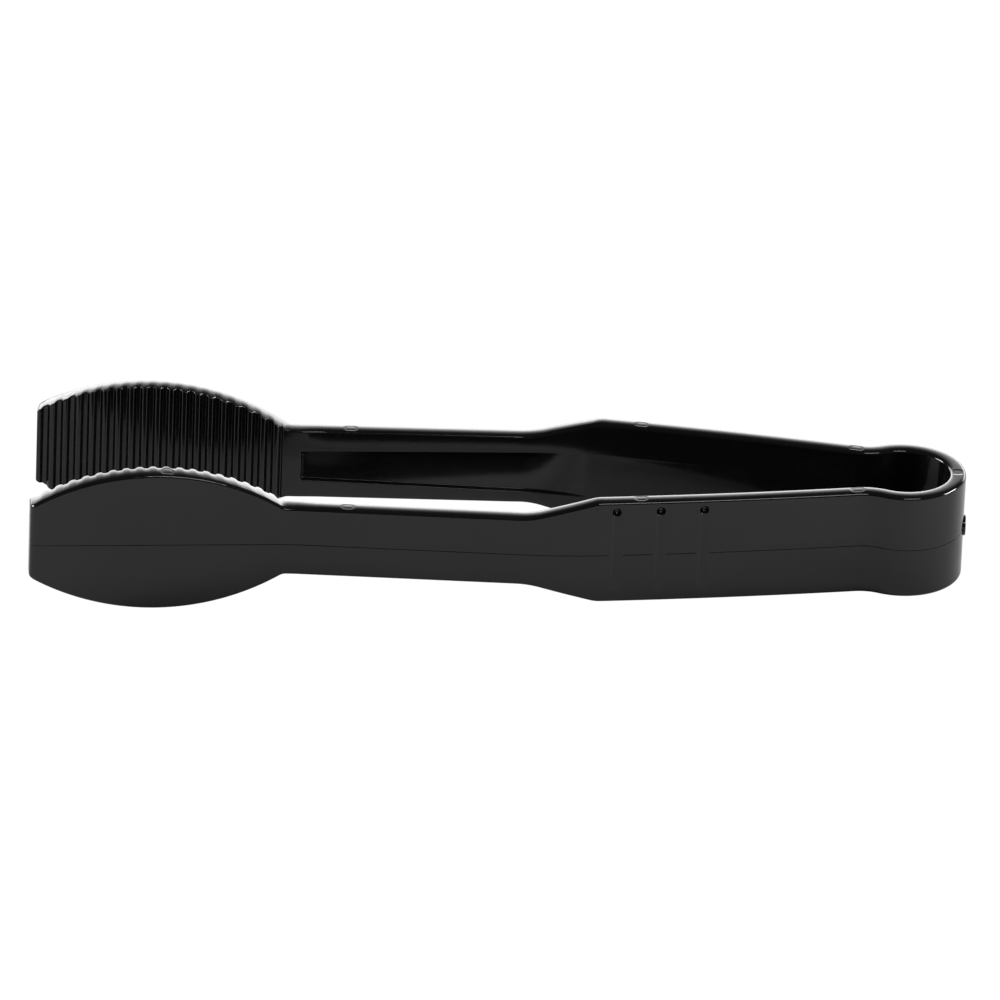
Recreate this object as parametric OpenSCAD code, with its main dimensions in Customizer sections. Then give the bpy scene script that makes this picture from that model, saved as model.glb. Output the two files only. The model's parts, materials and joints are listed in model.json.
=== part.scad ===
// Spring tongs moulded in one piece: two flat grip arms carried by a flexing bow.
// X runs along the tongs toward the bow, Y runs across from arm to arm, Z runs up the band.
// The flat end faces of the paddles are at low X. Z = 0 is the lower edge of the paddles.

/* [Bow] */
// outside radius of the bow
bow_r = 15.05; // [13.5:0.05:18]
// wall thickness of the bow, waist, handles and necks
band_t = 4.5; // [4:0.1:5]
// half height of the bow and handle band
band_hh = 13.7; // [11.5:0.05:15]
// radius on the long edges of the band
edge_r = 0.9; // [0.4:0.1:1.2]
// concave radius of the waist behind the bow
waist_r = 10; // [6:0.5:16]

/* [Handles] */
// angle of the rear part of each handle to the centre line
rear_a = 11; // [9:0.5:12]
// angle of the front end of each handle to the centre line
front_a = 7.5; // [6.5:0.1:8.5]
// large radius of the softly bowed handle
handle_r = 1000; // [800:10:1400]
// radius of the bend between handle and neck
front_bend_r = 150; // [120:1:220]
// radius of the shallow finger grooves
groove_r = 2.0; // [1.2:0.1:3]
// depth of the finger grooves
groove_d = 0.35; // [0.2:0.05:0.8]
// radius of the round pit at the upper end of each groove
pit_r = 1.05; // [0.7:0.05:1.3]
// how far the pit's centre lies under the outer face
pit_d = 0.35; // [0:0.05:0.6]
// margin between the groove ends and the band edges
groove_margin = 2.8; // [2:0.1:4]

/* [Necks] */
// half height of the neck
neck_hh = 9.2; // [8:0.05:10]
// depth of the channel between the neck rails
rail_t = 1.4; // [0.8:0.1:2]
// angle of the neck to the centre line
neck_a = 1.2; // [0:0.1:2]
// length of the straight neck
neck_len = 53.4; // [44:0.2:58]
// height of the channel's upper edge above the middle, at the paddle end
channel_up0 = 3.45; // [2.5:0.05:4.5]
// height of the channel's upper edge above the middle, at the handle end
channel_up1 = 4.55; // [4:0.05:6]
// depth of the channel's lower edge under the middle, at the paddle end
channel_low0 = 4.35; // [2.5:0.05:5]
// depth of the channel's lower edge under the middle, at the handle end
channel_low1 = 6.0; // [4:0.1:7]

/* [Paddles] */
// thickness of the paddle under its ribs
paddle_t = 3.8; // [3.2:0.1:4.4]
// length of each paddle
paddle_len = 61.4; // [60:0.2:64]
// greatest half height of the paddle
paddle_hh = 18.4; // [16:0.1:20]
// radius of the curved paddle edges
paddle_r = 58.5; // [52:0.5:70]
// outward angle of the paddle
paddle_a = 5.0; // [4:0.1:6]
// concave radius where the paddle runs into the neck
root_fillet_r = 3; // [2:0.5:8]
// bend radius where the paddle meets the neck
root_bend_r = 46; // [35:1:70]
// radius of the outer corner at the free end
nose_r = 1.5; // [1:0.1:3.4]
// distance between grip ribs
rib_pitch = 3.28; // [2.8:0.02:4]
// number of grip ribs
rib_n = 19; // [10:1:19]
// height of the grip ribs
rib_h = 1.25; // [0.8:0.05:1.5]
// width of the flat on each rib crest
rib_crest = 1.0; // [0.4:0.1:1.2]

/* [Hidden] */
$fn = 96;
fine = 48;
sweep = 720;
eps = 0.01;
over = 6;
body_len = 229.3;
nub_len = 0.5;
nub_r = 2.6;
nub_dome = 0.15;
nub_z = -0.8;

// bow
bow_ri = bow_r - band_t;
bow_x = body_len / 2 - bow_r;
crown_a = 45;

// point and direction of the rear handle line, measured from the bow centre
rear_px = -15.7;
rear_py = 14.2;
rear_along = rear_px * cos(rear_a) - rear_py * sin(rear_a);
rear_off = rear_px * sin(rear_a) + rear_py * cos(rear_a);
waist_reach = sqrt(pow(bow_r + waist_r, 2) - pow(rear_off + waist_r, 2));
waist_s = -waist_reach;
waist_x = bow_x + waist_s * cos(rear_a) + (rear_off + waist_r) * sin(rear_a);
waist_y = -waist_s * sin(rear_a) + (rear_off + waist_r) * cos(rear_a);
bow_end_a = atan2(waist_y, waist_x - bow_x);

// handle arc from the waist to the shoulder, then the bend into the neck
rear_x = waist_x - waist_r * sin(rear_a);
rear_y = waist_y - waist_r * cos(rear_a);
hc_x = rear_x - handle_r * sin(rear_a);
hc_y = rear_y - handle_r * cos(rear_a);
front_x = hc_x + handle_r * sin(front_a);
front_y = hc_y + handle_r * cos(front_a);
fbc_x = front_x - front_bend_r * sin(front_a);
fbc_y = front_y - front_bend_r * cos(front_a);
nk_x = fbc_x - front_bend_r * sin(neck_a);
nk_y = fbc_y + front_bend_r * cos(neck_a);

// neck, root bend, paddle
ne_x = nk_x - neck_len * cos(neck_a);
ne_y = nk_y - neck_len * sin(neck_a);
rc_x = ne_x - root_bend_r * sin(neck_a);
rc_y = ne_y + root_bend_r * cos(neck_a);
pd_x = rc_x - root_bend_r * sin(paddle_a);
pd_y = rc_y - root_bend_r * cos(paddle_a);
paddle_cz = paddle_hh - paddle_r;
fillet_cz = neck_hh + root_fillet_r;
fillet_dx = sqrt(pow(paddle_r + root_fillet_r, 2) - pow(fillet_cz - paddle_cz, 2));
fillet_k = paddle_r / (paddle_r + root_fillet_r);
paddle_cx = -fillet_dx * fillet_k;
fillet_x = fillet_dx * (1 - fillet_k);

// shoulder outline
taper_x0 = nk_x + 2.6;
taper_x1 = front_x - 3.6;
// rails, and the run-out of the channel between them
web_t = band_t - rail_t;
channel_end_x = 14.5;
root_block_t = band_t - paddle_t;
// ribs
rib_first = 0.47;
rib_valley = 0.7;
rib_foot = (rib_pitch - rib_valley) / 2;

// finger grooves, placed by their distance along X
groove_xs = [28.9, 39.7, 50.3];
// angle of the handle arc at which the flexing tail begins
tail_a = 10.4;

// shift that centres the whole object along X
low_x = pd_x - paddle_len * cos(paddle_a) - (paddle_t + rib_h) * sin(paddle_a);
high_x = bow_x + bow_r + nub_len;
shift_x = -(low_x + high_x) / 2;
whole_z = paddle_hh;
shell = [0.075, 0.075, 0.082];
shell_inner = [0.10, 0.10, 0.11];

// ---- sections ------------------------------------------------------------

// band section: x from 0 (inner face) to t (outer face), y up and down
module section(t, hh, ro, ri) {
    union() {
        translate([ri, -hh]) square([t - ri - ro, 2 * hh]);
        translate([0, -hh + ri]) square([ri, 2 * (hh - ri)]);
        translate([t - ro, -hh + ro]) square([ro, 2 * (hh - ro)]);
        for (m = [-1, 1]) {
            translate([ri, m * (hh - ri)]) circle(r = ri, $fn = fine);
            translate([t - ro, m * (hh - ro)]) circle(r = ro, $fn = fine);
        }
    }
}

// band section with square inner edges, for webs that carry rails or ribs
module web_section(t, hh, ro) {
    union() {
        translate([0, -hh]) square([t - ro, 2 * hh]);
        translate([t - ro, -hh + ro]) square([ro, 2 * (hh - ro)]);
        for (m = [-1, 1]) {
            translate([t - ro, m * (hh - ro)]) circle(r = ro, $fn = fine);
        }
    }
}

// arc whose outer face is on the convex side; angles measured from +X
module convex_arc(cx, cy, r_out, t, a0, a1) {
    translate([cx, cy, 0]) rotate([0, 0, a0])
        rotate_extrude(angle = a1 - a0, $fn = sweep) translate([r_out - t, 0]) children();
}

// arc whose outer face is on the concave side
module concave_arc(cx, cy, r_out, t, a0, a1) {
    translate([cx, cy, 0]) rotate([0, 0, a0])
        rotate_extrude(angle = a1 - a0, $fn = sweep) translate([r_out + t, 0]) mirror([1, 0]) children();
}

// straight run: outer face starts at the point and runs toward +X at the heading
module run(px, py, heading, len, t) {
    translate([px, py, 0]) rotate([0, 0, heading])
        rotate([90, 0, 90]) linear_extrude(len) translate([-t, 0]) children();
}

// prism across the whole object, drawn in the side view
module side_prism() {
    translate([0, 3 * whole_z, 0]) rotate([90, 0, 0])
        linear_extrude(3 * whole_z) children();
}

module far_side() {
    translate([shift_x, 0, whole_z]) children();
}

module near_side() {
    translate([shift_x, 0, whole_z]) mirror([0, 1, 0]) children();
}

// ---- bow -----------------------------------------------------------------

module bow_crown() {
    color(shell) far_side()
        convex_arc(bow_x, 0, bow_r, band_t, -crown_a, crown_a)
            section(band_t, band_hh, edge_r, edge_r);
}

module gate_vestige() {
    color(shell_inner) far_side()
        translate([bow_x, 0, nub_z]) difference() {
            rotate([0, 90, 0]) union() {
                cylinder(r = nub_r, h = bow_r + nub_len - nub_dome);
                cylinder(r = nub_r - nub_dome, h = bow_r + nub_len);
            }
            cylinder(r = bow_r, h = 4 * nub_r, center = true);
        }
}

module quadrant() {
    convex_arc(bow_x, 0, bow_r, band_t, crown_a, bow_end_a)
        section(band_t, band_hh, edge_r, edge_r);
}

module waist() {
    concave_arc(waist_x, waist_y, waist_r, band_t, 270 - rear_a, bow_end_a + 180)
        section(band_t, band_hh, edge_r, edge_r);
}

// ---- handle --------------------------------------------------------------

// height of the handle's outer face above the centre line at a distance along X
function face_y(x) = hc_y + sqrt(pow(handle_r, 2) - pow(x - hc_x, 2));

// half of a slot outline with round ends, turned about its long axis
module groove(x) {
    reach = band_hh - groove_margin;
    translate([x, face_y(x) + groove_r - groove_d, 0]) rotate_extrude($fn = fine)
        intersection() {
            translate([0, -reach - groove_r]) square([groove_r, 2 * (reach + groove_r)]);
            union() {
                translate([-groove_r, -reach]) square([2 * groove_r, 2 * reach]);
                translate([0, reach]) circle(r = groove_r, $fn = fine);
                translate([0, -reach]) circle(r = groove_r, $fn = fine);
            }
        }
}

// round pit at the groove's upper end
module pit(x) {
    translate([x, face_y(x) - pit_d, band_hh - groove_margin]) sphere(r = pit_r, $fn = fine);
}

module handle_tail() {
    convex_arc(hc_x, hc_y, handle_r, band_t, 90 - rear_a, 90 - tail_a)
        section(band_t, band_hh, edge_r, edge_r);
}

module handle() {
    difference() {
        convex_arc(hc_x, hc_y, handle_r, band_t, 90 - tail_a, 90 - front_a)
            section(band_t, band_hh, edge_r, edge_r);
        for (x = groove_xs) {
            groove(x);
            pit(x);
        }
    }
}

// ---- neck ----------------------------------------------------------------

// height of the front bend's outer face above the centre line
function bend_y(x) = fbc_y + sqrt(pow(front_bend_r, 2) - pow(x - fbc_x, 2));

// height of a channel edge at a distance along X
function channel_z(x, z0, z1) = z0 + (x - ne_x) * (z1 - z0) / (nk_x - ne_x);

// everything above the shoulder taper, in the side view
module shoulder_cut() {
    for (m = [0, 1]) mirror([0, m]) polygon([
        [nk_x - over, neck_hh], [taper_x0, neck_hh], [taper_x1, band_hh],
        [taper_x1, band_hh + over], [nk_x - over, band_hh + over]]);
}

// side outline of the channel where it runs out in the shoulder
module channel_side() {
    x0 = nk_x - over;
    x1 = channel_end_x + over;
    polygon([
        [x0, channel_z(x0, channel_up0, channel_up1)], [x1, channel_z(x1, channel_up0, channel_up1)],
        [x1, -channel_z(x1, channel_low0, channel_low1)], [x0, -channel_z(x0, channel_low0, channel_low1)]]);
}

// wedge that takes the channel from its full depth to nothing
module channel_runout() {
    intersection() {
        linear_extrude(4 * band_hh, center = true) polygon([
            [nk_x - over, bend_y(nk_x) - web_t], [nk_x, bend_y(nk_x) - web_t],
            [channel_end_x, bend_y(channel_end_x) - band_t],
            [channel_end_x, 0], [nk_x - over, 0]]);
        side_prism() channel_side();
    }
}

module shoulder() {
    difference() {
        convex_arc(fbc_x, fbc_y, front_bend_r, band_t, 90 - front_a, 90 + neck_a)
            section(band_t, band_hh, edge_r, edge_r);
        side_prism() shoulder_cut();
        channel_runout();
    }
}

module neck() {
    run(ne_x, ne_y, neck_a, neck_len, web_t) web_section(web_t, neck_hh, edge_r);
}

// rail along one edge of the neck, from the channel's edge to the neck's edge
module rail(z0, z1) {
    intersection() {
        run(ne_x + web_t * sin(neck_a), ne_y - web_t * cos(neck_a), neck_a, neck_len, rail_t)
            translate([0, -band_hh]) square([rail_t, 2 * band_hh]);
        side_prism() polygon([
            [ne_x - over, channel_z(ne_x - over, z0, z1)], [nk_x + over, channel_z(nk_x + over, z0, z1)],
            [nk_x + over, neck_hh], [ne_x - over, neck_hh]]);
    }
}

module upper_rail() {
    rail(channel_up0, channel_up1);
}

module lower_rail() {
    mirror([0, 0, 1]) rail(channel_low0, channel_low1);
}

// ---- paddle --------------------------------------------------------------

// side region left after the two concave fillets, in the paddle root
module root_side() {
    difference() {
        translate([pd_x - over, -paddle_hh]) square([4 * over, 2 * paddle_hh]);
        for (m = [0, 1]) mirror([0, m]) {
            translate([pd_x + fillet_x, fillet_cz]) circle(r = root_fillet_r);
            translate([pd_x + fillet_x, neck_hh]) square([4 * over, paddle_hh]);
        }
    }
}

module paddle_root() {
    intersection() {
        concave_arc(rc_x, rc_y, root_bend_r, paddle_t, 270 - paddle_a, 270 + neck_a)
            web_section(paddle_t, neck_hh + over, edge_r);
        side_prism() root_side();
    }
}

module root_block() {
    concave_arc(rc_x, rc_y, root_bend_r + paddle_t, root_block_t, 270 - paddle_a, 270 + neck_a)
        translate([0, -neck_hh]) square([root_block_t, 2 * neck_hh]);
}

// paddle frame: x runs from the root (0) to the free end (negative), y = 0 on the outer face
module paddle_frame() {
    translate([pd_x, pd_y, 0]) rotate([0, 0, -paddle_a]) children();
}

// flat disc with a rounded rim on its outer face, centred on the edge arc
module edge_disc(t) {
    rotate([90, 0, 0]) rotate_extrude($fn = 240) union() {
        square([paddle_r - edge_r, t]);
        translate([0, edge_r]) square([paddle_r, t - edge_r]);
        translate([paddle_r - edge_r, edge_r]) circle(r = edge_r, $fn = 48);
    }
}

// region between the two edge arcs, square edged
module lens(y0, y1) {
    intersection() {
        translate([paddle_cx, y1, paddle_cz]) rotate([90, 0, 0])
            cylinder(r = paddle_r, h = y1 - y0, $fn = 240);
        translate([paddle_cx, y1, -paddle_cz]) rotate([90, 0, 0])
            cylinder(r = paddle_r, h = y1 - y0, $fn = 240);
    }
}

module paddle() {
    paddle_frame() intersection() {
        translate([paddle_cx, 0, paddle_cz]) edge_disc(paddle_t);
        translate([paddle_cx, 0, -paddle_cz]) edge_disc(paddle_t);
        linear_extrude(2 * paddle_hh, center = true) union() {
            translate([-paddle_len + nose_r, -paddle_t]) square([paddle_len - nose_r, paddle_t]);
            translate([-paddle_len, -paddle_t]) square([nose_r, paddle_t - nose_r]);
            translate([-paddle_len + nose_r, -nose_r]) circle(r = nose_r);
        }
    }
}

module grip_ribs() {
    paddle_frame() intersection() {
        lens(-paddle_t - rib_h - eps, -paddle_t);
        translate([-paddle_len, -paddle_hh, -paddle_hh])
            cube([paddle_len, 2 * paddle_hh, 2 * paddle_hh]);
        linear_extrude(2 * paddle_hh, center = true) union() {
            for (i = [0 : rib_n - 1]) {
                x = -paddle_len + rib_first + i * rib_pitch;
                translate([x, -paddle_t]) polygon([
                    [-rib_foot, 0], [-rib_crest / 2, -rib_h],
                    [rib_crest / 2, -rib_h], [rib_foot, 0]]);
            }
            translate([-paddle_len, -paddle_t - rib_h / 4])
                square([rib_first + (rib_n - 1) * rib_pitch, rib_h / 4]);
        }
    }
}

// ---- nodes ---------------------------------------------------------------

module near_bow_quadrant() { color(shell) near_side() quadrant(); }
module near_waist() { color(shell) near_side() waist(); }
module near_handle_tail() { color(shell) near_side() handle_tail(); }
module near_handle() { color(shell) near_side() handle(); }
module near_shoulder() { color(shell) near_side() shoulder(); }
module near_neck() { color(shell) near_side() neck(); }
module near_upper_rail() { color(shell_inner) near_side() upper_rail(); }
module near_lower_rail() { color(shell_inner) near_side() lower_rail(); }
module near_paddle_root() { color(shell) near_side() paddle_root(); }
module near_root_block() { color(shell_inner) near_side() root_block(); }
module near_paddle() { color(shell) near_side() paddle(); }
module near_grip_ribs() { color(shell_inner) near_side() grip_ribs(); }
module far_bow_quadrant() { color(shell) far_side() quadrant(); }
module far_waist() { color(shell) far_side() waist(); }
module far_handle_tail() { color(shell) far_side() handle_tail(); }
module far_handle() { color(shell) far_side() handle(); }
module far_shoulder() { color(shell) far_side() shoulder(); }
module far_neck() { color(shell) far_side() neck(); }
module far_upper_rail() { color(shell_inner) far_side() upper_rail(); }
module far_lower_rail() { color(shell_inner) far_side() lower_rail(); }
module far_paddle_root() { color(shell) far_side() paddle_root(); }
module far_root_block() { color(shell_inner) far_side() root_block(); }
module far_paddle() { color(shell) far_side() paddle(); }
module far_grip_ribs() { color(shell_inner) far_side() grip_ribs(); }

bow_crown();
gate_vestige();
near_bow_quadrant();
near_waist();
near_handle_tail();
near_handle();
near_shoulder();
near_neck();
near_upper_rail();
near_lower_rail();
near_paddle_root();
near_root_block();
near_paddle();
near_grip_ribs();
far_bow_quadrant();
far_waist();
far_handle_tail();
far_handle();
far_shoulder();
far_neck();
far_upper_rail();
far_lower_rail();
far_paddle_root();
far_root_block();
far_paddle();
far_grip_ribs();
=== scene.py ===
import json
import math

import bpy
import numpy as np
from mathutils import Matrix, Vector


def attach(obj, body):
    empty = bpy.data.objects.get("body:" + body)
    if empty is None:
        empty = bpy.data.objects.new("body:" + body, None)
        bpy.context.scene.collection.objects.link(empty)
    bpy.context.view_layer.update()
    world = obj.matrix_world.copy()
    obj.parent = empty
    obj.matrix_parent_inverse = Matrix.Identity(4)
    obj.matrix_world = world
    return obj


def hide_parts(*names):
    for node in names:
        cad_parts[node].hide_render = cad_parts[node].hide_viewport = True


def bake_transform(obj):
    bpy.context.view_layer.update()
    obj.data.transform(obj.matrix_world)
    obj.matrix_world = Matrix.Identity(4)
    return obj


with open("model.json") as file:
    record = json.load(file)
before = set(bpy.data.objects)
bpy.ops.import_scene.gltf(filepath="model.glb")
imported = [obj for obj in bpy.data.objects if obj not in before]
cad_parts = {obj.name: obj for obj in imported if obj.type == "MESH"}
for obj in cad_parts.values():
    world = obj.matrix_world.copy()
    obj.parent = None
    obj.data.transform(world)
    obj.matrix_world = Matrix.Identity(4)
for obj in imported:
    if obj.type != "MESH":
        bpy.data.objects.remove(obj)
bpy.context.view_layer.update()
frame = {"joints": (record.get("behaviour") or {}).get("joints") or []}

# One-piece spring tongs of glossy black plastic. Lengths are in millimetres until a mesh is
# made. The far arm (+Y) is swept along a path from the bow's apex to the paddle's end; the
# near arm is its mirror image. The path follows the outer face, and its direction is the
# angle of the outward normal, measured from +X.

MM = 0.001

# ---- driving dimensions, as in the CAD -----------------------------------

BOW_R = 15.05
BAND_T = 4.5
BAND_HH = 13.7
WAIST_R = 10.0
REAR_A = 11.0
FRONT_A = 7.5
HANDLE_R = 1000.0
FRONT_BEND_R = 150.0
NECK_A = 1.2
NECK_LEN = 53.4
NECK_HH = 9.2
ROOT_BEND_R = 46.0
PADDLE_A = 5.0
PADDLE_LEN = 61.4
PADDLE_T = 3.8
PADDLE_HH = 18.4
PADDLE_R = 58.5
ROOT_FILLET_R = 3.0
NOSE_R = 1.5
RIB_PITCH, RIB_N, RIB_H = 3.28, 19, 1.25
RIB_CREST, RIB_FIRST, RIB_VALLEY = 1.0, 0.47, 0.7
# depth of the floor that the ribs stand on
RIB_FLOOR = 0.3
CHANNEL_T, CHANNEL_LEAN = 1.4, 1.35
CHANNEL_UP = (3.45, 4.55)
CHANNEL_LOW = (4.35, 6.0)
CHANNEL_END_X = 22.0
CHANNEL_FILLET = 0.28
GROOVE_XS = (28.9, 39.7, 50.3)
GROOVE_R, GROOVE_D, GROOVE_MARGIN = 2.0, 0.35, 2.8
PIT_R, PIT_D = 1.05, 0.35
EDGE_R = 0.9
# radius at the paddle's very end
TIP_R = 0.35
NUB_R, NUB_LEN, NUB_Z = 2.6, 0.48, -0.8
# offsets of the rear handle line from the bow centre
REAR_PX, REAR_PY = -15.7, 14.2
# witness marks of the ejector pins on the upper rims, by their place along X
MARKS_FAR = (-107.0, -37.0, 35.0, 90.0)
MARKS_NEAR = (-81.0, -37.0, 35.0, 90.0)
MARK_R, MARK_D = 1.6, 0.06
# slope of the crowned upper rims at their two edges, in degrees
RIM_FALL = 6.0
# draft of the inner face above mid-height, in degrees
DRAFT = 2.0
# fine line where the two mould halves met
LINE_Z, LINE_W, LINE_D = -0.8, 0.13, 0.075


def rad(a):
    return math.radians(a)


def unit(a):
    """Unit vector of an angle in degrees; the angle may be an array."""
    r = np.radians(a)
    return np.stack([np.cos(r), np.sin(r)], -1)


# ---- path ----------------------------------------------------------------

rear_off = REAR_PX * math.sin(rad(REAR_A)) + REAR_PY * math.cos(rad(REAR_A))
reach = math.sqrt((BOW_R + WAIST_R) ** 2 - (rear_off + WAIST_R) ** 2)
waist_dx = -reach * math.cos(rad(REAR_A)) + (rear_off + WAIST_R) * math.sin(rad(REAR_A))
waist_dy = reach * math.sin(rad(REAR_A)) + (rear_off + WAIST_R) * math.cos(rad(REAR_A))
BOW_END_A = math.degrees(math.atan2(waist_dy, waist_dx))

# each stretch: radius of the outer face (0 is straight), turn of the normal in degrees, length
STRETCHES = [
    ("bow", BOW_R, BOW_END_A, 0),
    ("waist", WAIST_R, 90 - REAR_A - BOW_END_A, 0),
    ("handle", HANDLE_R, REAR_A - FRONT_A, 0),
    ("shoulder", FRONT_BEND_R, FRONT_A + NECK_A, 0),
    ("neck", 0, 0, NECK_LEN),
    ("root", ROOT_BEND_R, -NECK_A - PADDLE_A, 0),
    ("paddle", 0, 0, PADDLE_LEN),
]


class Path:
    """The outer face in plan. s is the distance along it from the bow's apex."""

    def __init__(self):
        self.pieces = []
        self.start = {}
        s, point, angle = 0.0, np.array([BOW_R, 0.0]), 0.0
        for name, radius, turn, length in STRETCHES:
            length = length or radius * abs(rad(turn))
            self.start[name] = s
            signed = math.copysign(radius, turn) if radius else 0
            self.pieces.append((s, length, point, angle, signed))
            s += length
            points, angles = self.at(s)
            point, angle = points[0], angles[0]
        self.end = s

    def at(self, s):
        """Points (before the shift along X) and normal angles at distances s."""
        s = np.atleast_1d(np.asarray(s, float))
        points, angles = np.zeros((len(s), 2)), np.zeros(len(s))
        for i, (s0, length, p0, a0, radius) in enumerate(self.pieces):
            use = s >= s0 if i else np.ones(len(s), bool)
            d = s[use] - s0
            if radius:
                a = a0 + np.degrees(d / radius)
                points[use] = p0 + radius * (unit(a) - unit(a0))
                angles[use] = a
            else:
                points[use] = p0 + d[:, None] * unit(a0 + 90)
                angles[use] = a0
        return points, angles


path = Path()
tip_point, tip_angle = path.at(path.end)
low_x = tip_point[0, 0] - (PADDLE_T + RIB_H) * math.cos(rad(tip_angle[0]))
high_x = BOW_R + NUB_LEN + 0.02
SHIFT = -(low_x + high_x) / 2
# the frame's own bow centre, in the design's X where the handle line was laid out
DESIGN_SHIFT = 99.6


def s_at_x(x):
    """Distance along the path of a place given by its design X, in front of the waist."""
    table = np.arange(path.start["waist"] + 6, path.end, 0.05)
    points, _ = path.at(table)
    return float(np.interp(-(x - DESIGN_SHIFT), -points[:, 0], table))


# ---- section -------------------------------------------------------------


def soft_step(x, width):
    """0 to 1 over a width centred on x = 0."""
    t = np.clip(x / width + 0.5, 0, 1)
    return t * t * (3 - 2 * t)


def soft_ramp(x, x0, x1, y0, y1, soft, soft_end=None):
    """Straight ramp from (x0, y0) to (x1, y1), flat outside, with rounded corners."""
    def corner(t, r):
        return np.where(t <= -r, 0, np.where(t >= r, t, (t + r) ** 2 / (4 * r)))
    return y0 + (y1 - y0) / (x1 - x0) * (corner(x - x0, soft) - corner(x - x1, soft_end or soft))


S_NECK, S_ROOT, S_PADDLE = path.start["neck"], path.start["root"], path.start["paddle"]
S_SHOULDER = path.start["shoulder"]
taper_s0 = S_SHOULDER + 3.6
taper_s1 = S_NECK - 2.6
S_CHANNEL_END = s_at_x(CHANNEL_END_X)
fillet_cz = NECK_HH + ROOT_FILLET_R
paddle_cz = PADDLE_HH - PADDLE_R
fillet_dx = math.sqrt((PADDLE_R + ROOT_FILLET_R) ** 2 - (fillet_cz - paddle_cz) ** 2)
paddle_c = fillet_dx * PADDLE_R / (PADDLE_R + ROOT_FILLET_R)
fillet_c = fillet_dx - paddle_c


def half_height(s):
    h = soft_ramp(s, taper_s0, taper_s1, BAND_HH, NECK_HH, 1.2, 3.0)
    d = s - S_PADDLE
    along = np.minimum(d + fillet_c, ROOT_FILLET_R)
    fillet = fillet_cz - np.sqrt(np.maximum(ROOT_FILLET_R**2 - along**2, 0))
    arc = paddle_cz + np.sqrt(np.maximum(PADDLE_R**2 - (d - paddle_c) ** 2, 0))
    h = np.where(d > -fillet_c, fillet, h)
    h = np.where(d > 0, arc, h)
    return h - corner_loss(s, TIP_R)


def corner_loss(s, radius):
    """How far a rounded end of that radius draws in, close to the paddle's end."""
    d = np.clip(path.end - s, 0, radius)
    return radius - np.sqrt(np.maximum(radius**2 - (radius - d) ** 2, 0))


def rib_height(s):
    """Grip ribs across the paddle's inner face, with rounded crests and feet."""
    d = path.end - s
    nearest = np.clip(np.round((d - RIB_FIRST) / RIB_PITCH), 0, RIB_N - 1)
    off = np.abs(d - RIB_FIRST - nearest * RIB_PITCH)
    foot = (RIB_PITCH - RIB_VALLEY) / 2
    return soft_ramp(off, RIB_CREST / 2, foot, RIB_H, 0, 0.16)


def inner_depth(s):
    """Depth of the inner face under the outer face."""
    d = s - S_PADDLE
    base = soft_ramp(d, 0.1, 0.5, BAND_T, PADDLE_T + RIB_FLOOR, 0.1)
    ribbed = PADDLE_T + rib_height(s)
    depth = np.where(d > 0.3, np.maximum(base, ribbed), base)
    return depth - corner_loss(s, TIP_R)


def outer_loss(s):
    """Nose radius that draws the outer face in at the free end."""
    return corner_loss(s, NOSE_R)


def inner_radius(s):
    r = soft_ramp(s, S_ROOT - 2, S_PADDLE - 0.5, 0.75, 0.28, 0.5)
    return r + 0.15 * soft_step(S_NECK - s, 6)


def channel_depth(s):
    wall = soft_step(S_ROOT + 0.7 - s, 0.6)
    fade = np.clip((s - S_CHANNEL_END) / (S_NECK - S_CHANNEL_END), 0, 1)
    return CHANNEL_T * wall * fade * (2 - fade)


def channel_edges(s):
    t = (S_ROOT - s) / (S_ROOT - S_NECK)
    t = np.clip(t, -0.2, 1.4)
    return (CHANNEL_UP[0] + t * (CHANNEL_UP[1] - CHANNEL_UP[0]),
            -CHANNEL_LOW[0] - t * (CHANNEL_LOW[1] - CHANNEL_LOW[0]))


GROOVE_S = [s_at_x(x) for x in GROOVE_XS]
GROOVE_REACH = BAND_HH - GROOVE_MARGIN


def outer_dent(s, z):
    """Depth of the finger grooves and of the parting line in the outer face."""
    dent = np.zeros(np.broadcast(s, z).shape)
    clear = np.ones_like(dent)
    for s0 in GROOVE_S:
        away = np.hypot(s - s0, np.maximum(np.abs(z) - GROOVE_REACH, 0))
        flute = np.sqrt(np.maximum(GROOVE_R**2 - away**2, 0)) - (GROOVE_R - GROOVE_D)
        dent = np.maximum(dent, flute * soft_step(z + GROOVE_REACH - 1.5, 3))
        pit = np.hypot(s - s0, z - GROOVE_REACH)
        dent = np.where(pit < PIT_R, np.sqrt(np.maximum(PIT_R**2 - pit**2, 0)) + PIT_D, dent)
        clear = clear * soft_step(np.abs(s - s0) - 1.6, 0.8)
    line = LINE_D * np.clip(1 - np.abs(z - LINE_Z) / LINE_W, 0, 1) * clear
    return np.maximum(dent, 0) + line


def spread(a, b, n, first=True, last=True):
    """n + 1 even shares from a to b, with or without the two ends."""
    return np.linspace(a, b, n + 1)[(0 if first else 1):(None if last else -1)]


half_shares = np.concatenate([[0.25, 0.5, 0.66], np.linspace(0.74, 0.95, 22)])
coarse_shares = np.concatenate([[0.25, 0.5, 0.7], np.linspace(0.78, 0.96, 9)])
LINE_ZS = LINE_Z + LINE_W * np.array([-1.15, -0.95, -0.12, 0.12, 0.95, 1.15])
line_shares = LINE_ZS / (BAND_HH - EDGE_R)
FACE_SHARES = np.sort(np.concatenate([-coarse_shares, half_shares, line_shares, [-1, 0.02, 1]]))
TURN = spread(0, 90, 6)


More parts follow.
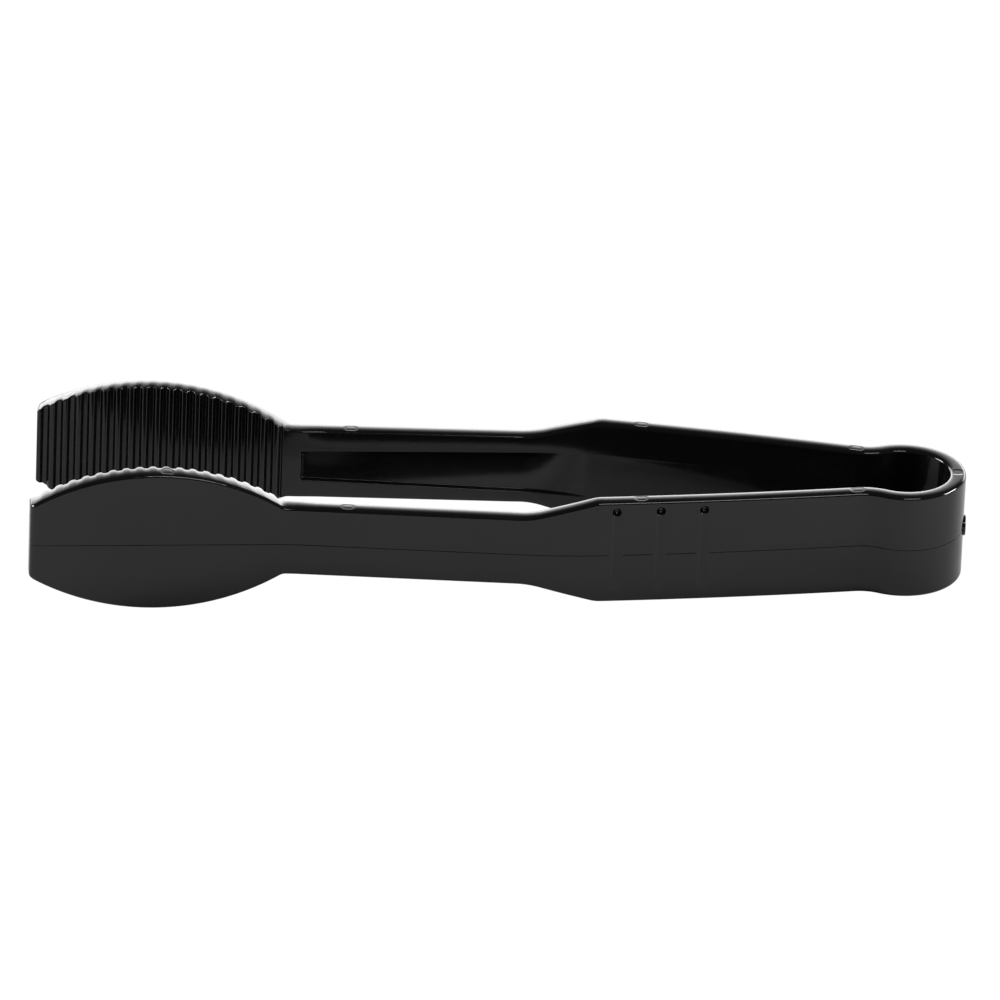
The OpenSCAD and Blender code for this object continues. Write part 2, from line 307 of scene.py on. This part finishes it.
def section(s, marks):
    """Rings at stations s: (station, point, depth-and-z)."""
    s = np.asarray(s, float)[:, None]
    h = half_height(s)
    thick = inner_depth(s)
    draft = math.tan(rad(DRAFT)) * soft_step(S_ROOT - 1 - s, 4)
    start = outer_loss(s)
    room = thick - start
    ro = np.minimum(EDGE_R, 0.42 * room)
    ri = np.minimum(inner_radius(s), 0.42 * room)
    up, low = channel_edges(s)
    ch = channel_depth(s)
    cos, sin = np.cos(np.radians(TURN))[None, :], np.sin(np.radians(TURN))[None, :]
    one = np.ones((1, 1))

    fall = rad(RIM_FALL)
    lost = draft * h
    rim_w = room - lost - (ro + ri) * (1 - math.sin(fall))
    crown = rim_w * math.tan(fall) / 4
    top_o = h - crown - ro * math.cos(fall)
    top_i = h - crown - ri * math.cos(fall)
    high = TURN * (1 - RIM_FALL / 90)
    hcos, hsin = np.cos(np.radians(high))[None, :], np.sin(np.radians(high))[None, :]
    outer_z = FACE_SHARES[None, :] * np.where(FACE_SHARES[None, :] > 0, top_o, h - ro)
    # the parting line keeps its own height where the band is narrower
    for share, z in zip(line_shares, LINE_ZS):
        outer_z = np.where(np.isclose(FACE_SHARES, share)[None, :], z, outer_z)
    parts = [(start + outer_dent(s, outer_z), outer_z)]
    parts.append(((start + ro - ro * hcos)[:, 1:], (top_o + ro * hsin)[:, 1:]))
    rim = spread(0, 1, 13, False, False)[None, :]
    rim_u = start + ro * (1 - math.sin(fall)) + rim * rim_w
    dip = np.zeros_like(rim_u)
    for s0 in marks:
        away = np.hypot(s - s0, rim_u - start - room / 2)
        dip = dip + MARK_D * soft_step(MARK_R - away, 0.5)
    parts.append((rim_u, h - dip - crown * (2 * rim - 1) ** 2))
    parts.append((thick - lost - ri + ri * hcos[:, ::-1], top_i + ri * hsin[:, ::-1]))
    # upper rail face, channel and lower rail face
    fr = CHANNEL_FILLET
    fu = fr * np.minimum(ch / 0.6, 1)
    lean = CHANNEL_LEAN * ch / CHANNEL_T
    for share in (0.35, 0.7):
        face_z = top_i + share * (up + 0.4 - top_i)
        parts.append((thick - draft * face_z, face_z))
    for edge, way in ((up, 1), (low, -1)):
        turn = TURN[::2] if way > 0 else TURN[::-2]
        c, d = np.cos(np.radians(turn))[None, :], np.sin(np.radians(turn))[None, :]
        brow = thick - draft * edge if way > 0 else thick
        outside = (brow - fu + fu * c, edge + way * (fr - fr * d + 0.02))
        bed = brow - ch - (lean if way > 0 else 0)
        inside = (bed + fu - fu * d, edge - way * (fr - fr * c + 0.02))
        if way > 0:
            parts.extend([outside, inside])
            parts.append((thick - ch - (draft * up + lean) / 2, (up + low) / 2))
        else:
            parts.extend([inside, outside])
    for share in (0.35, 0.7):
        parts.append((thick * one, (low - 0.4) + share * (-(h - ri) - (low - 0.4))))
    parts.append(((thick - ri + ri * sin)[:, ::-1], (-(h - ri) - ri * cos)[:, ::-1]))
    rim = spread(1, 0, 3, False, False)[None, :]
    parts.append((start + ro + rim * (room - ro - ri), -h * np.ones_like(rim)))
    parts.append(((start + ro - ro * cos)[:, ::-1][:, :-1],
                  -(h - ro + ro * sin)[:, ::-1][:, :-1]))
    n = len(s)
    u = np.concatenate([np.broadcast_to(a, (n, a.shape[1])) for a, _ in parts], 1)
    z = np.concatenate([np.broadcast_to(b, (n, b.shape[1])) for _, b in parts], 1)
    return u, z


# ---- sweep ---------------------------------------------------------------

# seams between the pieces, as distances along the path
SEAM_BOW = BOW_R * rad(20)
SEAM_SIDE = BOW_R * rad(79)
SEAM_WAIST = path.start["waist"] + WAIST_R * rad(25)
SEAM_TAIL = s_at_x(66)
SEAM_ROOT = S_ROOT + 1.4


def stations(marks):
    """Distances along the path at which a ring is placed."""
    s = [np.array([path.end, SEAM_BOW, SEAM_SIDE, SEAM_WAIST, SEAM_TAIL, SEAM_ROOT])]
    s.append(np.arange(-SEAM_BOW, path.start["waist"], BOW_R * rad(1.5)))
    s.append(np.arange(path.start["waist"], path.start["handle"], WAIST_R * rad(1.5)))
    s.append(np.arange(path.start["handle"], S_SHOULDER, 2.5))
    s.append(np.arange(S_SHOULDER, S_NECK, 1.0))
    s.append(np.arange(S_NECK, S_ROOT, 2.5))
    s.append(np.arange(S_ROOT - 0.6, S_PADDLE + 0.7, 0.15))
    s.append(np.arange(taper_s0 - 1.4, taper_s0 + 1.5, 0.28))
    s.append(np.arange(taper_s1 - 3.2, taper_s1 + 3.3, 0.4))
    for s0 in GROOVE_S:
        s.append(s0 + spread(-1.32, 1.32, 22))
        s.append(s0 + np.array([-2.4, -2.0, -1.6, 1.6, 2.0, 2.4]))
    for s0 in marks:
        s.append(s0 + spread(-2.0, 2.0, 16))
    foot = (RIB_PITCH - RIB_VALLEY) / 2
    crest = RIB_CREST / 2
    turns = [-foot - 0.16, -foot, -foot + 0.16, -crest - 0.16, -crest, -crest + 0.16]
    turns = turns + [-t for t in reversed(turns)]
    for i in range(RIB_N):
        s.append(path.end - RIB_FIRST - i * RIB_PITCH + np.array(turns))
    s.append(path.end - NOSE_R * (1 - np.sin(np.radians(spread(0, 90, 12)))))
    s.append(path.end - TIP_R * (1 - np.sin(np.radians(spread(0, 90, 5)))))
    s = np.unique(np.round(np.concatenate(s), 4))
    s = s[s <= path.end + 1e-6]
    keep = [s[0]]
    seams = (-SEAM_BOW, SEAM_BOW, SEAM_SIDE, SEAM_WAIST, SEAM_TAIL, SEAM_ROOT, path.end)
    wanted = {round(x, 4) for x in seams}
    for x in s[1:]:
        if x - keep[-1] >= 0.03:
            keep.append(x)
        elif round(float(x), 4) in wanted:
            keep[-1] = x
    return np.array(keep)


def sweep(marks, side):
    """Grid of points and smooth normals for one side; side is +1 far or -1 near."""
    s = stations(marks)
    u, z = section(s, marks)
    point, angle = path.at(s)
    n = unit(angle)
    xy = point[:, None, :] - u[:, :, None] * n[:, None, :]
    xyz = np.concatenate([xy, z[:, :, None]], 2)
    xyz[:, :, 0] += BOW_X
    xyz[:, :, 1] *= side
    xyz[:, :, 2] += MID_Z
    ahead = np.roll(xyz, -1, 1)
    diagonal_a = ahead[1:] - xyz[:-1]
    diagonal_b = xyz[1:] - ahead[:-1]
    faces = np.cross(diagonal_b, diagonal_a) * side
    whole = np.zeros_like(xyz)
    for block in (faces, np.roll(faces, 1, 1)):
        whole[:-1] += block
        whole[1:] += block
    whole /= np.linalg.norm(whole, axis=2, keepdims=True) + 1e-12
    return s, xyz * MM, whole


def make_object(name, verts, faces, loop_normals=None):
    mesh = bpy.data.meshes.new(name)
    mesh.from_pydata([tuple(v) for v in verts], [], faces)
    mesh.polygons.foreach_set("use_smooth", [True] * len(mesh.polygons))
    if loop_normals is not None:
        mesh.normals_split_custom_set(loop_normals)
    mesh.update()
    obj = bpy.data.objects.new(name, mesh)
    bpy.context.scene.collection.objects.link(obj)
    return obj


def moulding(name, grid, s0, s1, side):
    """Closed mesh of the sweep between two seams."""
    s, xyz, normals = grid
    i0 = int(np.argmin(np.abs(s - s0)))
    i1 = int(np.argmin(np.abs(s - s1)))
    rings, k = i1 - i0 + 1, xyz.shape[1]
    verts = xyz[i0:i1 + 1].reshape(-1, 3)
    smooth = normals[i0:i1 + 1].reshape(-1, 3)
    faces, loops = [], []
    for r in range(rings - 1):
        for j in range(k):
            a, b = r * k + j, r * k + (j + 1) % k
            quad = [a, b, b + k, a + k]
            if side > 0:
                quad.reverse()
            faces.append(quad)
            loops.extend(smooth[v] for v in quad)
    for r, inside in ((0, 1), (rings - 1, rings - 2)):
        ring = [r * k + j for j in range(k)]
        points = verts[ring]
        out = points.mean(0) - verts[inside * k:inside * k + k].mean(0)
        normal = np.cross(points, np.roll(points, -1, 0)).sum(0)
        if normal @ out < 0:
            ring.reverse()
            normal = -normal
        normal /= np.linalg.norm(normal)
        faces.append(ring)
        loops.extend([normal] * k)
    return make_object(name, verts, faces, [tuple(v) for v in loops])


BOW_X = SHIFT
MID_Z = PADDLE_HH

far_marks = [s_at_x(x) for x in MARKS_FAR] + [0.0]
near_marks = [s_at_x(x) for x in MARKS_NEAR]
joints = {j["name"]: j for j in frame["joints"]}

# ---- materials -----------------------------------------------------------


def plastic(name, roughness):
    """Glossy black moulding: faint flow mottling, fine texture, a few dust specks."""
    mat = bpy.data.materials.new(name)
    mat.use_nodes = True
    nodes, links = mat.node_tree.nodes, mat.node_tree.links
    shader = nodes["Principled BSDF"]
    shader.inputs["IOR"].default_value = 1.5
    place = nodes.new("ShaderNodeTexCoord")

    def noise(scale, detail, rough=0.5):
        n = nodes.new("ShaderNodeTexNoise")
        n.inputs["Scale"].default_value = scale
        n.inputs["Detail"].default_value = detail
        n.inputs["Roughness"].default_value = rough
        links.new(place.outputs["Object"], n.inputs["Vector"])
        return n

    def ramp(source, stops):
        r = nodes.new("ShaderNodeValToRGB")
        while len(r.color_ramp.elements) < len(stops):
            r.color_ramp.elements.new(0.5)
        for element, (at, colour) in zip(r.color_ramp.elements, stops):
            element.position = at
            element.color = (*colour, 1)
        links.new(source, r.inputs["Fac"])
        return r

    flow = noise(60, 4)
    tint = ramp(flow.outputs["Fac"],
                [(0.3, (0.0035, 0.0035, 0.0037)), (0.7, (0.0065, 0.0065, 0.007))])
    dust_cells = nodes.new("ShaderNodeTexVoronoi")
    dust_cells.inputs["Scale"].default_value = 420
    links.new(place.outputs["Object"], dust_cells.inputs["Vector"])
    speck = ramp(dust_cells.outputs["Distance"], [(0.035, (1, 1, 1)), (0.06, (0, 0, 0))])
    where = noise(130, 2)
    chance = ramp(where.outputs["Fac"], [(0.62, (0, 0, 0)), (0.7, (1, 1, 1))])
    both = nodes.new("ShaderNodeMath")
    both.operation = "MULTIPLY"
    links.new(speck.outputs["Color"], both.inputs[0])
    links.new(chance.outputs["Color"], both.inputs[1])
    mix = nodes.new("ShaderNodeMix")
    mix.data_type = "RGBA"
    links.new(both.outputs["Value"], mix.inputs["Factor"])
    links.new(tint.outputs["Color"], mix.inputs["A"])
    mix.inputs["B"].default_value = (0.09, 0.09, 0.088, 1)
    links.new(mix.outputs["Result"], shader.inputs["Base Color"])

    wear = noise(240, 5, 0.6)
    level = nodes.new("ShaderNodeMapRange")
    level.inputs["To Min"].default_value = roughness - 0.025
    level.inputs["To Max"].default_value = roughness + 0.035
    links.new(wear.outputs["Fac"], level.inputs["Value"])
    links.new(level.outputs["Result"], shader.inputs["Roughness"])

    fine = noise(1500, 3)
    bump = nodes.new("ShaderNodeBump")
    bump.inputs["Strength"].default_value = 0.12
    bump.inputs["Distance"].default_value = 0.00002
    links.new(fine.outputs["Fac"], bump.inputs["Height"])
    links.new(bump.outputs["Normal"], shader.inputs["Normal"])
    return mat


smooth_plastic = plastic("smooth_moulding", 0.09)
ribbed_plastic = plastic("ribbed_moulding", 0.12)


def finish_piece(obj, slot, *nodes):
    obj.data.materials.append(ribbed_plastic if slot == "ribbed_moulding" else smooth_plastic)
    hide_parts(*nodes)


def bend(obj, joint, s_hinge, length):
    """Finds the band's direction at the hinge, which nothing uses, and bakes the piece's
    placement into its mesh; the piece is not bent.
    """
    j = joints[joint]
    _, angle = path.at(s_hinge)
    side = 1 if j["child"].startswith("far") else -1
    along = unit(angle[0] + 90)
    along = Vector((along[0], side * along[1], 0)) * (length / 2 * MM)
    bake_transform(obj)


# ---- the moulding --------------------------------------------------------

# place of each hinge along the path, and the length of band about it; the pieces are not bent
BOW_HINGE = (BOW_R * rad(45), 8.6)
WAIST_HINGE = (path.start["waist"], 8.0)
HANDLE_HINGE = (s_at_x(77.1), 16.0)

grids = {"far": sweep(far_marks, 1), "near": sweep(near_marks, -1)}

crown = moulding("bow_crown_moulding", grids["far"], -SEAM_BOW, SEAM_BOW, 1)
finish_piece(crown, "smooth_moulding", "bow_crown")
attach(crown, "bow")

for name, side in (("near", -1), ("far", 1)):
    grid = grids[name]
    quadrant = moulding(f"{name}_bow_side_moulding", grid, SEAM_BOW, SEAM_SIDE, side)
    finish_piece(quadrant, "smooth_moulding", f"{name}_bow_quadrant")
    bend(quadrant, f"{name}_bow_flex", *BOW_HINGE)
    waist = moulding(f"{name}_waist_moulding", grid, SEAM_SIDE, SEAM_WAIST, side)
    finish_piece(waist, "smooth_moulding", f"{name}_waist")
    bend(waist, f"{name}_waist_flex", *WAIST_HINGE)
    tail = moulding(f"{name}_tail_moulding", grid, SEAM_WAIST, SEAM_TAIL, side)
    finish_piece(tail, "smooth_moulding", f"{name}_handle_tail")
    bend(tail, f"{name}_handle_flex", *HANDLE_HINGE)
    handle = moulding(f"{name}_handle_moulding", grid, SEAM_TAIL, SEAM_ROOT, side)
    finish_piece(handle, "smooth_moulding", f"{name}_handle", f"{name}_shoulder", f"{name}_neck",
                 f"{name}_upper_rail", f"{name}_lower_rail")
    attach(handle, f"{name}_arm")
    paddle = moulding(f"{name}_paddle_moulding", grid, SEAM_ROOT, path.end, side)
    finish_piece(paddle, "ribbed_moulding", f"{name}_paddle_root", f"{name}_root_block",
                 f"{name}_paddle", f"{name}_grip_ribs")
    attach(paddle, f"{name}_arm")


def lathe(name, profile, steps, centre, axis_turn):
    """Solid of revolution about local Z, turned and moved into place."""
    verts, faces = [], []
    for k in range(steps):
        a = 2 * math.pi * k / steps
        for r, z in profile:
            verts.append((r * math.cos(a), r * math.sin(a), z))
    n = len(profile)
    for k in range(steps):
        m = (k + 1) % steps
        for i in range(n - 1):
            faces.append([k * n + i, m * n + i, m * n + i + 1, k * n + i + 1])
    faces.append([k * n for k in reversed(range(steps))])
    faces.append([k * n + n - 1 for k in range(steps)])
    obj = make_object(name, verts, faces)
    obj.data.transform(Matrix.Translation(centre) @ axis_turn @ Matrix.Scale(MM, 4))
    return obj


# stub left where the mould was filled: a low round with a softened rim and a dimple
nub_top = BOW_R + NUB_LEN
NUB_EDGE = 0.22
# the dimple: radius and depth under the top
NUB_DIMPLE = [(1.3, 0), (1.1, 0.06), (0.8, 0.14), (0.4, 0.18), (0.05, 0.18)]
nub_profile = [(NUB_R, BOW_R - 1.2), (NUB_R, nub_top - NUB_EDGE)]
nub_profile += [(NUB_R - NUB_EDGE * (1 - math.cos(rad(a))),
                 nub_top - NUB_EDGE + NUB_EDGE * math.sin(rad(a)))
                for a in (20, 40, 60, 80, 90)]
nub_profile += [(r, nub_top - depth) for r, depth in NUB_DIMPLE]
nub = lathe("gate_vestige_moulding", nub_profile, 48,
            Vector((BOW_X * MM, 0, (MID_Z + NUB_Z) * MM)), Matrix.Rotation(rad(90), 4, "Y"))
finish_piece(nub, "smooth_moulding", "gate_vestige")
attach(nub, "bow")

# ---- stage ---------------------------------------------------------------

# the tongs stand on the bow's lower edge and the paddles' lowest points, so the floor slopes
# in the part's frame; slope in degrees and drop below the band's middle in metres
TILT = 1.48
FLOOR_DROP = 0.01668
# camera: turn about the vertical, roll and elevation in degrees, distance and aim in metres
TURN_Z = 0.28
ROLL = 0.56
ELEVATION = 27.0
DISTANCE = 3.446
LENS, SENSOR = 503.8, 36.0
AIM_RIGHT, AIM_UP = 0.00039, 0.00138

origin = Vector(((BOW_X - DESIGN_SHIFT) * MM, 0, PADDLE_HH * MM))
level_x = Vector((math.cos(rad(TILT)), 0, math.sin(rad(TILT))))
level_z = Vector((-math.sin(rad(TILT)), 0, math.cos(rad(TILT))))
level_y = Vector((0, 1, 0))


def make_camera():
    right = level_x * math.cos(rad(TURN_Z)) + level_y * math.sin(rad(TURN_Z))
    back_y = level_y * math.cos(rad(TURN_Z)) - level_x * math.sin(rad(TURN_Z))
    up = level_z * math.cos(rad(ELEVATION)) + back_y * math.sin(rad(ELEVATION))
    deep = back_y * math.cos(rad(ELEVATION)) - level_z * math.sin(rad(ELEVATION))
    across = right * math.cos(rad(ROLL)) + up * math.sin(rad(ROLL))
    upward = up * math.cos(rad(ROLL)) - right * math.sin(rad(ROLL))
    data = bpy.data.cameras.new("camera")
    data.lens = LENS
    data.sensor_width = SENSOR
    data.clip_start = 0.1
    data.clip_end = 100
    cam = bpy.data.objects.new("camera", data)
    turn = Matrix((across, upward, -deep)).transposed().to_4x4()
    eye = origin - deep * DISTANCE + across * AIM_RIGHT + upward * AIM_UP
    cam.matrix_world = Matrix.Translation(eye) @ turn
    bpy.context.scene.collection.objects.link(cam)
    bpy.context.scene.camera = cam


def make_floor():
    """Large pale floor, seen as plain white."""
    half, n = 12.0, 8
    verts = []
    for i in range(n + 1):
        for j in range(n + 1):
            p = origin + level_x * (2 * half * i / n - half) + level_y * (2 * half * j / n - half)
            verts.append(p - level_z * FLOOR_DROP)
    faces = []
    for i in range(n):
        for j in range(n):
            a, b = i * (n + 1) + j, (i + 1) * (n + 1) + j
            faces.append([a, b, b + 1, a + 1])
    floor = make_object("floor", verts, faces)
    mat = bpy.data.materials.new("floor")
    mat.use_nodes = True
    nodes, links = mat.node_tree.nodes, mat.node_tree.links
    nodes.clear()
    out = nodes.new("ShaderNodeOutputMaterial")
    mix = nodes.new("ShaderNodeMixShader")
    matte = nodes.new("ShaderNodeBsdfDiffuse")
    matte.inputs["Color"].default_value = (0.8, 0.8, 0.8, 1)
    glow = nodes.new("ShaderNodeEmission")
    glow.inputs["Color"].default_value = (1, 1, 1, 1)
    glow.inputs["Strength"].default_value = 1.02
    ray = nodes.new("ShaderNodeLightPath")
    links.new(ray.outputs["Is Camera Ray"], mix.inputs["Fac"])
    links.new(matte.outputs["BSDF"], mix.inputs[1])
    links.new(glow.outputs["Emission"], mix.inputs[2])
    links.new(mix.outputs["Shader"], out.inputs["Surface"])
    floor.data.materials.append(mat)


def softbox(name, azimuth, elevation, distance, width, height, radiance):
    """Rectangular lamp aimed at the object. Azimuth 0 is behind it, 180 is the camera's side."""
    data = bpy.data.lights.new(name, "AREA")
    data.shape = "RECTANGLE"
    data.size, data.size_y = width, height
    data.energy = radiance * math.pi * width * height
    lamp = bpy.data.objects.new(name, data)
    flat = level_y * math.cos(rad(azimuth)) + level_x * math.sin(rad(azimuth))
    away = flat * math.cos(rad(elevation)) + level_z * math.sin(rad(elevation))
    lamp.location = origin + away * distance
    lamp.rotation_euler = away.to_track_quat("Z", "Y").to_euler()
    lamp.visible_camera = False
    bpy.context.scene.collection.objects.link(lamp)


make_camera()
make_floor()
# the stacked lamps behind fade upward, which the crowned rims mirror as bright to dark
softbox("back_low", 0, 11, 2.2, 4.4, 0.70, 5.4)
softbox("back_lower", 0, 22.3, 2.0, 3.6, 0.16, 2.9)
softbox("back_upper", 0, 27, 2.0, 3.6, 0.17, 1.3)
softbox("back_high", 0, 31.7, 2.0, 3.6, 0.16, 0.35)
softbox("left_softbox", -85, 20, 2.0, 0.9, 0.4, 24.0)
softbox("right_softbox", 85, 20, 2.0, 0.9, 0.4, 38.0)
softbox("edge_lamp", 158, 47, 2.0, 0.8, 0.3, 9.0)

world = bpy.data.worlds.new("studio")
bpy.context.scene.world = world
world.use_nodes = True
world.node_tree.nodes["Background"].inputs["Color"].default_value = (1, 1, 1, 1)
world.node_tree.nodes["Background"].inputs["Strength"].default_value = 0.06
bpy.context.scene.view_settings.view_transform = "Standard"
